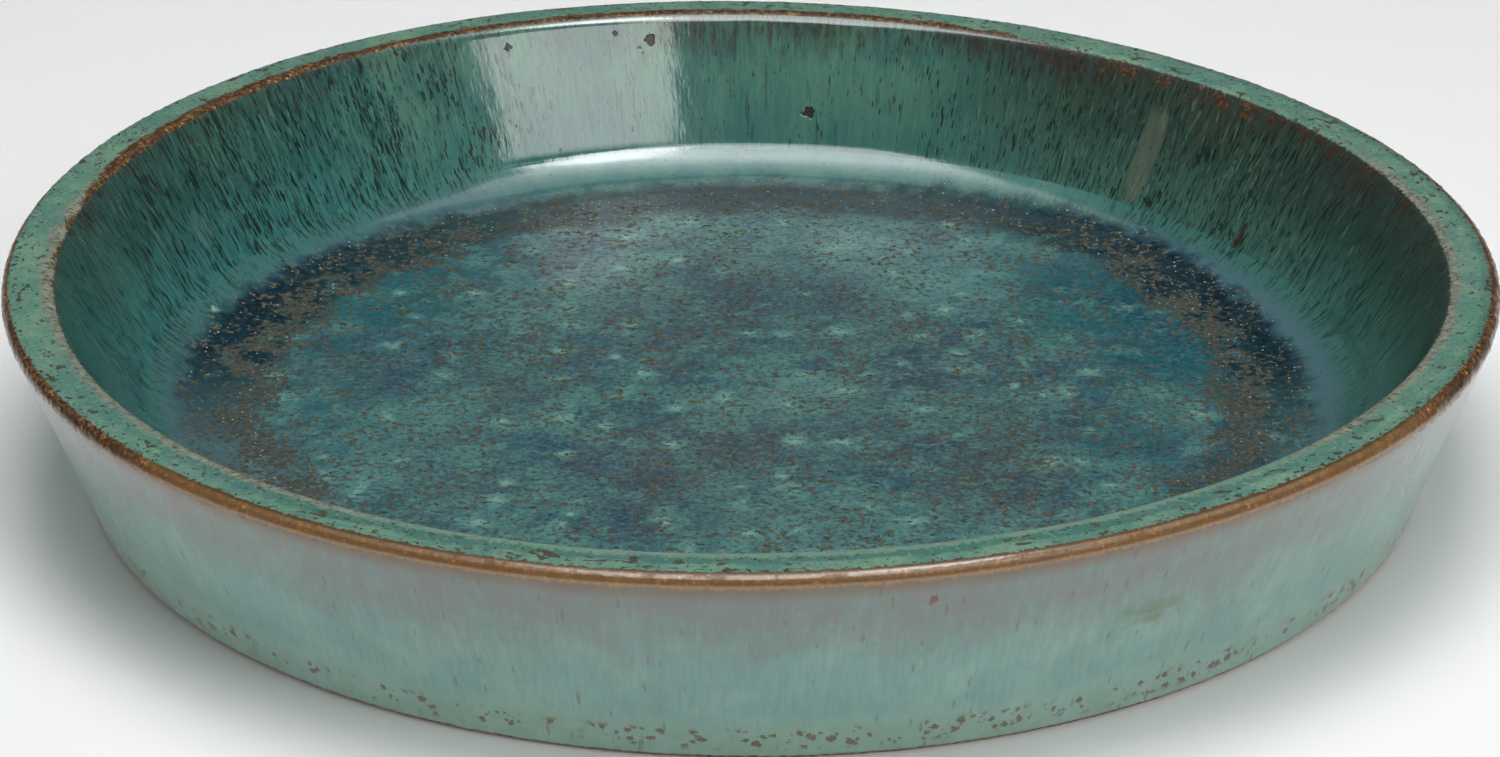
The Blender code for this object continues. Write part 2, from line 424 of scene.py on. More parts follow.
class Finish:
    """One material, with nodes added so that a look reads as a formula."""

    def __init__(self, name, coat_roughness):
        self.material = bpy.data.materials.new(name)
        self.material.use_nodes = True
        self.tree = self.material.node_tree
        self.shader = self.tree.nodes["Principled BSDF"]
        gloss = {"IOR": GLAZE_IOR, "Coat IOR": GLAZE_IOR, "Specular IOR Level": GLAZE_SPECULAR}
        self.feed(self.shader, {**gloss, "Coat Roughness": coat_roughness})
        self.place = self.node("ShaderNodeAttribute", {}, attribute_name="place").outputs["Vector"]
        self.run = self.node("ShaderNodeSeparateXYZ", {0: self.place}).outputs[2]
        position = self.node("ShaderNodeNewGeometry", {}).outputs["Position"]
        self.position = self.scaled(position, (1 / MM, 1 / MM, 1 / MM))

    def node(self, kind, inputs, **settings):
        """A new node with its settings and inputs."""
        node = self.tree.nodes.new(kind)
        for name, value in settings.items():
            setattr(node, name, value)
        self.feed(node, inputs)
        return node

    def feed(self, node, inputs):
        """Links or sets inputs of a node."""
        for key, value in inputs.items():
            if isinstance(value, bpy.types.NodeSocket):
                self.tree.links.new(value, node.inputs[key])
            else:
                node.inputs[key].default_value = value

    def math(self, operation, *values):
        return self.node("ShaderNodeMath", dict(enumerate(values)), operation=operation).outputs[0]

    def vector_math(self, operation, *values, output=0):
        node = self.node("ShaderNodeVectorMath", dict(enumerate(values)), operation=operation)
        return node.outputs[output]

    def taken_together(self, operation, parts):
        """One value from several. A tuple among them counts as its product."""
        values = [self.product(*part) if isinstance(part, tuple) else part for part in parts]
        return functools.reduce(lambda first, second: self.math(operation, first, second), values)

    def product(self, *parts):
        return self.taken_together("MULTIPLY", parts)

    def total(self, *parts):
        return self.taken_together("ADD", parts)

    def most(self, *parts):
        return self.taken_together("MAXIMUM", parts)

    def inverse(self, value):
        return self.math("SUBTRACT", 1.0, value)

    def above(self, value, limit, soft):
        """0 below a limit and 1 where the value is past it by a margin."""
        return self.rise(self.math("SUBTRACT", value, limit), 0.0, soft)

    def towards(self, azimuth, spread, full=1):
        """1 at an azimuth in degrees, or above a full share, and 0 from a spread on both sides."""
        direction = (math.cos(math.radians(azimuth)), math.sin(math.radians(azimuth)), 0.0)
        facing = self.vector_math("DOT_PRODUCT", self.place, direction, output="Value")
        share = self.rise(facing, MEAN_RADIUS * math.cos(math.radians(spread)), MEAN_RADIUS)
        return share if full == 1 else self.rise(share, 0.0, full)

    def nearness(self, vector, centre, width, length):
        """1 at a point, falling to 0 at the edge of an uneven oval."""
        away = self.vector_math("SUBTRACT", vector, centre)
        oval = self.scaled(away, (2 / width, 2 / width, 2 / length))
        distance = self.vector_math("LENGTH", oval, output="Value")
        uneven = self.swing(width / 3, length / 3, detail=2.0, seed=60, vector=vector)
        return self.inverse(self.rise(self.total(distance, (uneven, 1.6)), 0.0, 1.0))

    def mark(self, azimuth, run, width, length):
        """Nearness to a mark on the side of the bowl, by its azimuth and run."""
        angle = math.radians(azimuth)
        centre = (MEAN_RADIUS * math.cos(angle), MEAN_RADIUS * math.sin(angle), run)
        return self.nearness(self.place, centre, width, length)

    def spots(self, vector, cell, share, radius, dimensions="3D"):
        """Nearness to spots of up to a radius, in a share of the cells."""
        inputs = {"Vector": vector, "Scale": 1 / cell}
        cells = self.node("ShaderNodeTexVoronoi", inputs, voronoi_dimensions=dimensions)
        picks = self.node("ShaderNodeSeparateColor", {0: cells.outputs["Color"]})
        picked = self.rise(picks.outputs[0], 1.0 - share - 0.01, 1.0 - share)
        size = self.product(self.total((picks.outputs[1], 0.6), 0.4), radius)
        distance = self.product(cells.outputs["Distance"], cell)
        near = self.inverse(self.math("DIVIDE", distance, size))
        return self.product(picked, self.most(near, 0.0))

    def scaled(self, vector, scale):
        return self.vector_math("MULTIPLY", vector, scale)

    def rise(self, value, low, high):
        """0 below one limit and 1 above another, smooth between."""
        limits = {0: value, 1: low, 2: high, 3: 0.0, 4: 1.0}
        return self.node("ShaderNodeMapRange", limits, interpolation_type="SMOOTHSTEP").outputs[0]

    def fall(self, value, low, high):
        """1 below one limit and 0 above another, smooth between."""
        return self.inverse(self.rise(value, low, high))

    def span(self, value, low, high, soft):
        """1 between two limits and 0 outside them, with soft ends."""
        rising = self.rise(value, low - soft / 2, low + soft / 2)
        return self.product(rising, self.fall(value, high - soft / 2, high + soft / 2))

    def blend(self, share, first, second):
        """Colour between two, or a number between two where neither is a colour."""
        if self.is_number(first) and self.is_number(second):
            inputs, output, kind = {0: share, 2: first, 3: second}, 0, "FLOAT"
        else:
            inputs, output, kind = {0: share, 6: paint(first), 7: paint(second)}, 2, "RGBA"
        return self.node("ShaderNodeMix", inputs, data_type=kind).outputs[output]

    def tint(self, colour, tone, *shares):
        """The colour moved towards a tone, by the product of shares."""
        return self.blend(self.product(*shares), colour, tone)

    @staticmethod
    def is_number(value):
        return isinstance(value, float) or getattr(value, "type", None) == "VALUE"

    def noise(self, across, along=None, detail=3, roughness=0.5, seed=0, vector=None):
        """Noise about 0.5, with cells of a width, and of another length along the run."""
        along = along or across
        vector = self.place if vector is None else vector
        shift = (seed * 37.0, seed * 19.0, seed * 53.0)
        moved = self.vector_math("ADD", vector, shift)
        cells = self.scaled(moved, (1 / across, 1 / across, 1 / along))
        inputs = {"Vector": cells, "Scale": 1.0, "Detail": detail, "Roughness": roughness}
        return self.node("ShaderNodeTexNoise", inputs).outputs[0]

    def swing(self, *cells, **settings):
        """Noise about 0."""
        return self.math("SUBTRACT", self.noise(*cells, **settings), 0.5)

    def drifts(self, across, along=None, detail=4, roughness=0.6, seed=0, vector=None):
        """Noise stretched so that much of its area is near 0 or 1."""
        return self.rise(self.noise(across, along, detail, roughness, seed, vector), *DRIFT_LIMITS)

    def over(self, share, below, above):
        """One look over another."""
        parts = []
        for under, upper in zip(below, above):
            parts.append(under if under == upper else self.blend(share, under, upper))
        return Look(*parts)

    def wear(self, look):
        """Gives the material its look. The coat evens out most unevenness."""
        bump = {"Distance": MM, "Height": look.height}
        rough_face = self.node("ShaderNodeBump", {"Strength": 1.0, **bump})
        even_face = self.node("ShaderNodeBump", {"Strength": COAT_BUMP, **bump})
        self.feed(self.shader, {
            "Base Color": look.colour,
            "Roughness": look.roughness,
            "Coat Weight": look.coat,
            "Normal": rough_face.outputs[0],
            "Coat Normal": even_face.outputs[0],
        })


def clay_skin(mat):
    """Iron-brown skin of the lips: coarse golden grains among dark ones."""
    grains = mat.noise(1, roughness=0.7, seed=1)
    dark = mat.rise(mat.noise(1.5, roughness=0.7, seed=3), 0.50, 0.55)
    colour = mat.blend(mat.rise(grains, 0.44, 0.56), (76, 50, 26), (132, 94, 52))
    # Pale golden grains, partly the clay's own and partly painted glints on them
    colour = mat.tint(colour, (206, 174, 122), mat.rise(grains, 0.62, 0.67))
    colour = mat.tint(colour, (36, 22, 12), dark, 0.85)
    patches = mat.drifts(8, detail=2, seed=2)
    colour = mat.tint(colour, (60, 40, 26), patches, 0.55)
    under_lip = mat.span(mat.run, OUTER_TOP - 3.2, OUTER_TOP - 1.8, 0.8)
    colour = mat.tint(colour, (48, 30, 16), under_lip, 0.45)
    front = mat.towards(-85, 62, 0.3)
    colour = mat.tint(colour, (144, 108, 66), front, 0.4)
    lip_line = mat.fall(mat.run, RIM_OUTSIDE + 0.9, RIM_OUTSIDE + 1.9)
    colour = mat.tint(colour, (62, 44, 24), front, lip_line, 0.8)
    lower_lip = mat.rise(mat.run, OUTER_TOP - 2.2, OUTER_TOP - 1.4)
    colour = mat.tint(colour, (170, 136, 102), front, lower_lip, 0.7)
    unworn = mat.rise(mat.noise(5, seed=62), 0.36, 0.46)
    gloss_band_and_painted_highlight = mat.product(mat.span(mat.run, RIM_OUTSIDE + 1.5, RIM_OUTSIDE + 2.6, 0.5), unworn)
    # Pale beige along the glossy band in front: partly the glaze's own tone, partly a painted highlight
    colour = mat.tint(colour, (176, 158, 134), mat.towards(-84, 52), gloss_band_and_painted_highlight, 0.25)
    uneven = mat.total((grains, 0.14), (dark, -0.05))
    height = mat.product(uneven, mat.blend(front, 1.0, 0.6))
    coat = mat.blend(front, 0.55, mat.blend(gloss_band_and_painted_highlight, 0.22, 0.65))
    return Look(colour, mat.blend(grains, 0.6, 0.35), height, coat)


def beige_skin(mat):
    """Thin grey-beige glaze over the inner lip, with dark fringes down it."""
    fringes = mat.drifts(1.2, 2.4, detail=3, roughness=0.7, seed=4)
    colour = mat.blend(fringes, (156, 158, 142), (112, 112, 96))
    dots = mat.rise(mat.noise(0.9, 1.6, detail=2, seed=5), 0.56, 0.60)
    colour = mat.tint(colour, (60, 46, 34), dots, 0.8)
    return Look(colour, mat.blend(fringes, 0.2, 0.4), mat.product(fringes, 0.02), 0.6)


def wall_colour(mat):
    """Teal of the inner wall with fine lines down it, painted shade at both sides and painted light low
    down.
    """
    drift = mat.drifts(22, 30, seed=7)
    colour = mat.blend(drift, (64, 112, 104), (86, 130, 110))
    # Painted shade: both sides of the wall darker, the right one darkest up by the rim
    right = mat.towards(14, 72, 0.75)
    left = mat.product(mat.towards(174, 52), 0.8)
    lower = mat.fall(mat.run, COVE_EDGE, COVE_EDGE + 26.0)
    right_painted_shading = mat.blend(lower, (22, 46, 34), (66, 104, 86))
    colour = mat.blend(mat.product(right, 0.88), colour, right_painted_shading)
    colour = mat.tint(colour, (26, 70, 66), left, 0.9)
    # Painted light: the lower wall lighter towards the cove, most at the left
    colour = mat.tint(colour, (44, 112, 114), lower, 0.35)
    colour = mat.tint(colour, (62, 126, 124), lower, mat.towards(168, 62), 0.75)
    behind = mat.towards(78, 26)
    colour = mat.tint(colour, (62, 104, 94), behind, 0.25)
    greyer = mat.towards(44, 30)
    colour = mat.tint(colour, (78, 94, 80), greyer, 0.3)
    lively = mat.blend(mat.towards(88, 44), 1.0, 0.45)
    lines = mat.drifts(1.5, 14, detail=3, roughness=0.75, seed=8)
    colour = mat.tint(colour, (20, 54, 50), lines, lively, 0.38)
    pale = mat.rise(mat.noise(1.3, 8, roughness=0.65, seed=15), 0.57, 0.65)
    return mat.tint(colour, (110, 154, 140), pale, lively, 0.25)


def dark_streaks(mat, sides):
    """Thin dark streaks down the inner wall, closer together at its sides."""
    crowd = mat.drifts(15, 22, seed=9)
    drawn_out = mat.scaled(mat.place, (1.0, 1.0, 0.2))
    ragged = mat.swing(0.8, 3, roughness=0.7, seed=10)
    drops = mat.total(mat.spots(drawn_out, 1.1, 0.8, 0.62), (ragged, 1.2))
    sparse = mat.product(mat.towards(97, 30), 0.3)
    drop_limit = mat.total(0.5, (crowd, -0.22), (sides, -0.15), sparse)
    limit = mat.total(0.64, (crowd, -0.05), (sides, -0.05))
    thin = mat.noise(1, 5, roughness=0.7, seed=6)
    runs = mat.noise(1.3, 16, roughness=0.6, seed=11)
    return mat.most(
        (mat.above(drops, drop_limit, 0.12), 0.92),
        (mat.above(thin, limit, 0.02), mat.rise(sides, 0.0, 0.5), 0.9),
        (mat.above(runs, limit, 0.06), 0.4),
    )


def crease_coat(mat):
    """Weight of the coat by the crease between cove and wall, which is dull."""
    dull = mat.span(mat.run, COVE_EDGE + 1.2, COVE_EDGE + 2.8, 1.8)
    return mat.blend(dull, 1.0, 0.2)


# Pits of the inner wall: azimuth, run and width
WALL_PITS = ((84.3, 169.1, 6.0), (100.0, 190.6, 5.0), (103.3, 192.8, 2.6), (114.1, 192.1, 3.6))

# Pale marks on the inner wall, the first two painted reflections of lamps at the sides: azimuth, run,
# width, length, strength and colour
WALL_MARKS_AND_PAINTED_REFLECTIONS = (
    (47.5, 173, 13, 46, 0.42, (104, 110, 94)),
    (126, 176, 12, 44, 0.25, (88, 120, 112)),
    (156.2, 172.1, 14, 16, 0.14, (122, 158, 150)),
)


def wall_glaze(mat):
    """Glossy glaze of the inner wall, with dark runs from the lip downwards."""
    colour = wall_colour(mat)
    sides = mat.most(mat.towards(160, 60), (mat.towards(16, 66), 0.8))
    dark = dark_streaks(mat, sides)
    colour = mat.tint(colour, (14, 28, 26), dark)
    short = mat.noise(1.1, 3.4, roughness=0.6, seed=12)
    ticks = mat.rise(short, 0.67, 0.69)
    colour = mat.tint(colour, (62, 42, 28), ticks, 0.8)
    reach = mat.swing(1.8, 14, detail=4, roughness=0.65, seed=13)
    broad = mat.swing(24, seed=14)
    level = mat.total(mat.run, (reach, 30.0), (broad, 26.0))
    stained = mat.most(mat.towards(60, 60, 0.7), 0.5)
    patchy = mat.drifts(1.8, 7, roughness=0.7, seed=61)
    uneven = mat.total((patchy, 0.6), 0.4)
    stain = mat.product(mat.rise(level, WALL_TOP - 11.0, WALL_TOP + 2.0), stained, uneven)
    colour = mat.tint(colour, (54, 46, 42), stain, 0.86)
    # Pale marks, two of them painted reflections of lamps at the sides
    for azimuth, run, width, length, strength, tone in WALL_MARKS_AND_PAINTED_REFLECTIONS:
        near = mat.rise(mat.mark(azimuth, run, width, length), 0.0, 0.5)
        colour = mat.tint(colour, tone, near, strength)
    drip = mat.rise(mat.mark(31.8, 161.7, 3.4, 14), 0.2, 0.5)
    colour = mat.tint(colour, (58, 40, 24), drip, 0.85)
    pits = 0.0
    for azimuth, run, width in WALL_PITS:
        pits = mat.most(mat.mark(azimuth, run, width, width), pits)
    pit = mat.rise(pits, 0.25, 0.5)
    colour = mat.tint(colour, (40, 26, 24), pit, 0.9)
    ripple = mat.noise(1.2, 3, roughness=0.6, seed=16)
    height = mat.total((ripple, 0.1), (pit, -0.4))
    coat = mat.blend(pit, crease_coat(mat), 0.15)
    look = Look(colour, mat.blend(dark, 0.2, 0.35), height, coat)
    rust = mat.noise(4, 5, detail=4, roughness=0.68, seed=17)
    near_top = mat.rise(mat.run, WALL_TOP - 8.0, WALL_TOP + 1.0)
    rusty = mat.product(mat.towards(36, 34, 0.6), near_top, 0.17)
    skin = clay_skin(mat)
    browner = mat.blend(mat.towards(46, 14), 0.85, 0.45)
    skin = skin._replace(colour=mat.tint(skin.colour, (46, 36, 28), browner))
    return mat.over(mat.rise(mat.total(rust, rusty), 0.68, 0.70), look, skin)


def rim_green(mat):
    """Light green glaze of the rim, with clusters of dark specks."""
    drift = mat.drifts(12, detail=3, seed=18)
    colour = mat.blend(drift, (96, 142, 122), (120, 158, 134))
    wavy = mat.total(mat.run, (drift, 1.4))
    inner_half = mat.fall(wavy, RIM_OUTSIDE - 3.2, RIM_OUTSIDE - 1.6)
    colour = mat.tint(colour, (64, 112, 102), inner_half, mat.towards(FRONT, 80), 0.8)
    outermost = mat.rise(mat.run, RIM_OUTSIDE - 2.4, RIM_OUTSIDE - 0.8)
    colour = mat.tint(colour, (60, 100, 84), outermost, mat.towards(10, 60), 0.5)
    blue = mat.drifts(16, detail=3, seed=19)
    colour = mat.tint(colour, (88, 120, 128), blue, 0.3)
    fine = mat.drifts(1, 1.2, detail=3, roughness=0.7, seed=20)
    colour = mat.tint(colour, (66, 104, 86), fine, 0.28)
    pale = mat.rise(mat.noise(1.4, seed=37), 0.58, 0.66)
    colour = mat.tint(colour, (138, 172, 148), pale, 0.35)
    crowd = mat.rise(mat.noise(9, roughness=0.6, seed=22), 0.46, 0.60)
    limit = mat.total(0.66, (crowd, -0.085))
    specks = mat.noise(3, 1.8, detail=2, roughness=0.55, seed=21)
    dark = mat.above(specks, limit, 0.015)
    colour = mat.tint(colour, (62, 54, 40), dark, 0.9)
    small = mat.noise(1.2, detail=2, seed=23)
    near_edge = mat.rise(mat.run, RIM_OUTSIDE - 1.6, RIM_OUTSIDE + 0.2)
    dots = mat.above(small, mat.total(0.67, (near_edge, -0.07)), 0.02)
    colour = mat.tint(colour, (54, 44, 28), dots, 0.85)
    return Look(colour, mat.blend(dark, 0.25, 0.55), mat.product(dark, -0.03), 0.4)


def inner_lip(mat):
    """Inner lip: bare brown at the back, grey-beige at the sides, pale green in front with a painted
    reflection.
    """
    drift = mat.swing(11, seed=34)
    look = rim_green(mat)
    # Painted reflection: the lip paler in front
    front = mat.product(mat.towards(FRONT, 70), 0.45)
    paler_by_painted_reflection = mat.tint(look.colour, (146, 170, 148), front)
    look = look._replace(colour=paler_by_painted_reflection)
    beige = mat.most(mat.towards(-12, 40), mat.towards(204, 46))
    waving = mat.total(mat.run, (drift, 8.0))
    inwards = mat.fall(waving, RIM_INSIDE - 1.4, RIM_INSIDE + 2.2)
    beige_share = mat.product(mat.rise(mat.total(beige, drift), 0.05, 0.35), inwards, 0.9)
    look = mat.over(beige_share, look, beige_skin(mat))
    widening = mat.product(mat.towards(116, 66, 0.7), 3.7)
    grainy = mat.swing(1.4, 1.2, roughness=0.7, seed=59)
    uneven = mat.total((drift, 4.0), (grainy, 7.0))
    top = mat.total(WALL_TOP + 2.4, widening, uneven)
    browned = mat.rise(mat.towards(126, 72), 0.02, 0.1)
    brown = mat.product(mat.above(top, mat.run, 0.7), browned)
    return mat.over(brown, look, clay_skin(mat))


def outer_glaze(mat):
    """Grey-green glaze of the outer wall: brown and lavender under the lip, greener below, with painted
    light towards the base.
    """
    drift = mat.drifts(24, 20, seed=24)
    colour = mat.blend(drift, (115, 149, 143), (126, 158, 149))
    broad = mat.swing(30, seed=38)
    cloudy = mat.swing(3, 9, detail=4, roughness=0.7, seed=39)
    waving = mat.product(mat.total(broad, cloudy), 40.0)
    level = mat.total(mat.run, waving)
    colour = mat.tint(colour, (112, 124, 121), mat.fall(level, 216.0, 252.0))
    lines = mat.noise(1.2, 10, detail=4, roughness=0.7, seed=25)
    colour = mat.tint(colour, (96, 120, 114), mat.rise(lines, 0.45, 0.65), 0.2)
    colour = mat.tint(colour, (156, 180, 172), mat.fall(lines, 0.36, 0.46), 0.08)
    violet = mat.drifts(6, 7, detail=5, roughness=0.7, seed=26)
    near_lip = mat.fall(mat.run, OUTER_TOP + 3.0, OUTER_TOP + 24.0)
    colour = mat.tint(colour, (122, 110, 108), near_lip, violet, 0.45)
    seam = mat.fall(mat.run, OUTER_TOP - 0.5, OUTER_TOP + 3.5)
    colour = mat.tint(colour, (112, 92, 76), seam, 0.7)
    olive = mat.drifts(9, 8, detail=5, roughness=0.65, seed=27)
    at_base = mat.rise(mat.run, GLAZE_LINE - 14.0, GLAZE_LINE - 4.0)
    # Painted light: the wall lighter towards the base, where shade falls near the floor
    colour = mat.tint(colour, (138, 162, 152), at_base, 0.6)
    colour = mat.tint(colour, (116, 146, 118), olive, mat.most(at_base, 0.2), 0.4)
    wobble = mat.swing(1.1, roughness=0.6, seed=31)
    drawn_out = mat.scaled(mat.place, (1.0, 1.0, 0.22))
    drops = mat.total(mat.spots(drawn_out, 2.4, 0.9, 0.85), (wobble, 0.8))
    ticks = mat.rise(drops, 0.25, 0.75)
    colour = mat.tint(colour, (98, 92, 78), ticks, 0.45)
    smudge = mat.mark(-60.5, 234.9, 20, 11)
    colour = mat.tint(colour, (98, 112, 82), smudge, 0.75)
    red = mat.rise(mat.mark(-77.9, 218.8, 5, 5), 0.2, 0.7)
    colour = mat.tint(colour, (110, 62, 58), red, 0.8)
    clustered = mat.drifts(8, detail=2, seed=30)
    speckled = mat.total(mat.spots(mat.place, 2.8, 0.95, 2), (wobble, 2.0))
    blot = mat.rise(speckled, 0.28, 0.38)
    base_band = mat.span(mat.run, GLAZE_LINE - 7.0, GLAZE_LINE - 0.8, 2.0)
    dark = mat.product(blot, base_band, mat.rise(clustered, 0.05, 0.35), 0.85)
    colour = mat.tint(colour, (100, 80, 70), dark)
    ripple = mat.noise(2, 5, seed=32)
    return Look(colour, mat.blend(dark, 0.2, 0.45), mat.product(ripple, 0.012), 0.35)


def bare_foot(mat):
    """Bare fired clay above the foot and below the bowl."""
    grains = mat.noise(0.9, detail=4, roughness=0.65, seed=33, vector=mat.position)
    colour = mat.blend(mat.rise(grains, 0.38, 0.60), (80, 60, 42), (132, 106, 78))
    drift = mat.drifts(30, detail=3, seed=34, vector=mat.position)
    colour = mat.tint(colour, (100, 70, 48), drift, 0.4)
    return Look(colour, 0.8, mat.product(grains, 0.12), 0.0)


def along_the_bowl(mat, first, last):
    """The looks between two runs, each over the one before it from its own edge."""
    fine = mat.swing(1.2, 1.6, roughness=0.7, seed=35)
    coarse = mat.swing(5, detail=2, seed=36)
    ragged = mat.total(mat.run, (fine, 5.0), (coarse, 3.0))
    even = mat.total(mat.run, (fine, 2.4))
    left_lower = mat.total(even, (mat.towards(168, 45), 0.9))
    left_higher = mat.total(even, (mat.towards(LEFT, 60), -0.7))
    stages = (
        (COVE_EDGE - 20.0, COVE_EDGE + 1.5, cove_look, mat.run, 1.0),
        (COVE_EDGE + 0.2, WALL_TOP + 3.5, wall_glaze, mat.run, 0.8),
        (WALL_TOP + 2.4, RIM_INSIDE + 3.0, inner_lip, left_lower, 0.6),
        (RIM_INSIDE + 1.0, RIM_OUTSIDE + 2.5, rim_green, ragged, 1.2),
        (RIM_OUTSIDE + 0.5, OUTER_TOP + 2.0, clay_skin, left_higher, 0.5),
        (OUTER_TOP - 1.3, GLAZE_LINE + 3.0, outer_glaze, even, 1.6),
        (GLAZE_LINE + 1.5, OUTLINE.total, bare_foot, even, 0.4),
    )
    look = None
    for start, end, make, edge, soft in stages:
        if end < first or start > last:
            continue
        made = make(mat)
        if look is None:
            look = made
        else:
            look = mat.over(mat.rise(edge, start - soft / 2, start + soft / 2), look, made)
    return look


def ring_edge(mat):
    """Distance from the axis at which the floor's dark ring ends."""
    left = mat.product(mat.towards(172, 36), 3.5)
    back_right = mat.product(mat.towards(54, 30), 3.0)
    back = mat.product(mat.towards(96, 46), -3.0)
    right = mat.product(mat.towards(-5, 40), -2.0)
    return mat.total(147.0, left, back_right, back, right)


# Broad patches of the floor's glaze: across, away, width, strength and colour
FLOOR_PATCHES = (
    (0, 50, 116, 0.6, (58, 72, 88)),
    (54, 16, 76, 0.55, (64, 72, 86)),
    (-16, -52, 84, 0.6, (72, 74, 84)),
    (18, -40, 50, 0.4, (68, 78, 90)),
    (62, -44, 84, 0.65, (68, 70, 76)),
    (-82, 14, 76, 0.55, (54, 76, 90)),
    (2, -6, 46, 0.35, (122, 158, 146)),
    (30, 96, 70, 0.6, (122, 164, 156)),
    (56, 72, 58, 0.65, (106, 158, 150)),
    (-92, -32, 84, 0.6, (102, 150, 142)),
    (20, -90, 120, 0.5, (98, 144, 136)),
    (84, 46, 50, 0.55, (48, 124, 118)),
    (106, 62, 66, 0.95, (0, 70, 88)),
    (112, 22, 60, 0.8, (0, 80, 92)),
    (-98, 58, 60, 0.65, (12, 98, 98)),
)


def floor_colour(mat, flat):
    """Mottled blue-green of the floor, with broad patches and soft pale stars."""
    place = mat.position
    mottle = mat.drifts(20, detail=6, roughness=0.72, seed=41, vector=place)
    colour = mat.blend(mottle, (54, 88, 102), (86, 130, 124))
    violet = mat.rise(mat.noise(34, detail=5, roughness=0.7, seed=42, vector=place), 0.48, 0.58)
    colour = mat.tint(colour, (66, 78, 94), violet, 0.5)
    for across, away, width, strength, tone in FLOOR_PATCHES:
        near = mat.nearness(place, (across, away, FLOOR_HEIGHT), width, width)
        colour = mat.tint(colour, tone, near, strength)
    middle = mat.noise(4.5, detail=5, roughness=0.75, seed=52, vector=place)
    colour = mat.tint(colour, (96, 148, 144), mat.rise(middle, 0.50, 0.64), 0.4)
    colour = mat.tint(colour, (32, 62, 80), mat.fall(middle, 0.36, 0.50), 0.36)
    jitter = mat.noise(1.5, detail=4, roughness=0.7, seed=49, vector=place)
    colour = mat.tint(colour, (20, 52, 68), mat.rise(jitter, 0.48, 0.62), 0.38)
    colour = mat.tint(colour, (116, 164, 156), mat.fall(jitter, 0.38, 0.50), 0.3)
    stars = mat.product(mat.spots(flat, 15, 0.55, 9, "2D"), mat.rise(middle, 0.34, 0.56))
    colour = mat.tint(colour, (112, 164, 152), mat.rise(stars, 0.0, 1.1), 0.75)
    hearts = mat.rise(stars, 0.55, 1.0)
    return mat.tint(colour, (160, 202, 176), hearts, 0.35)


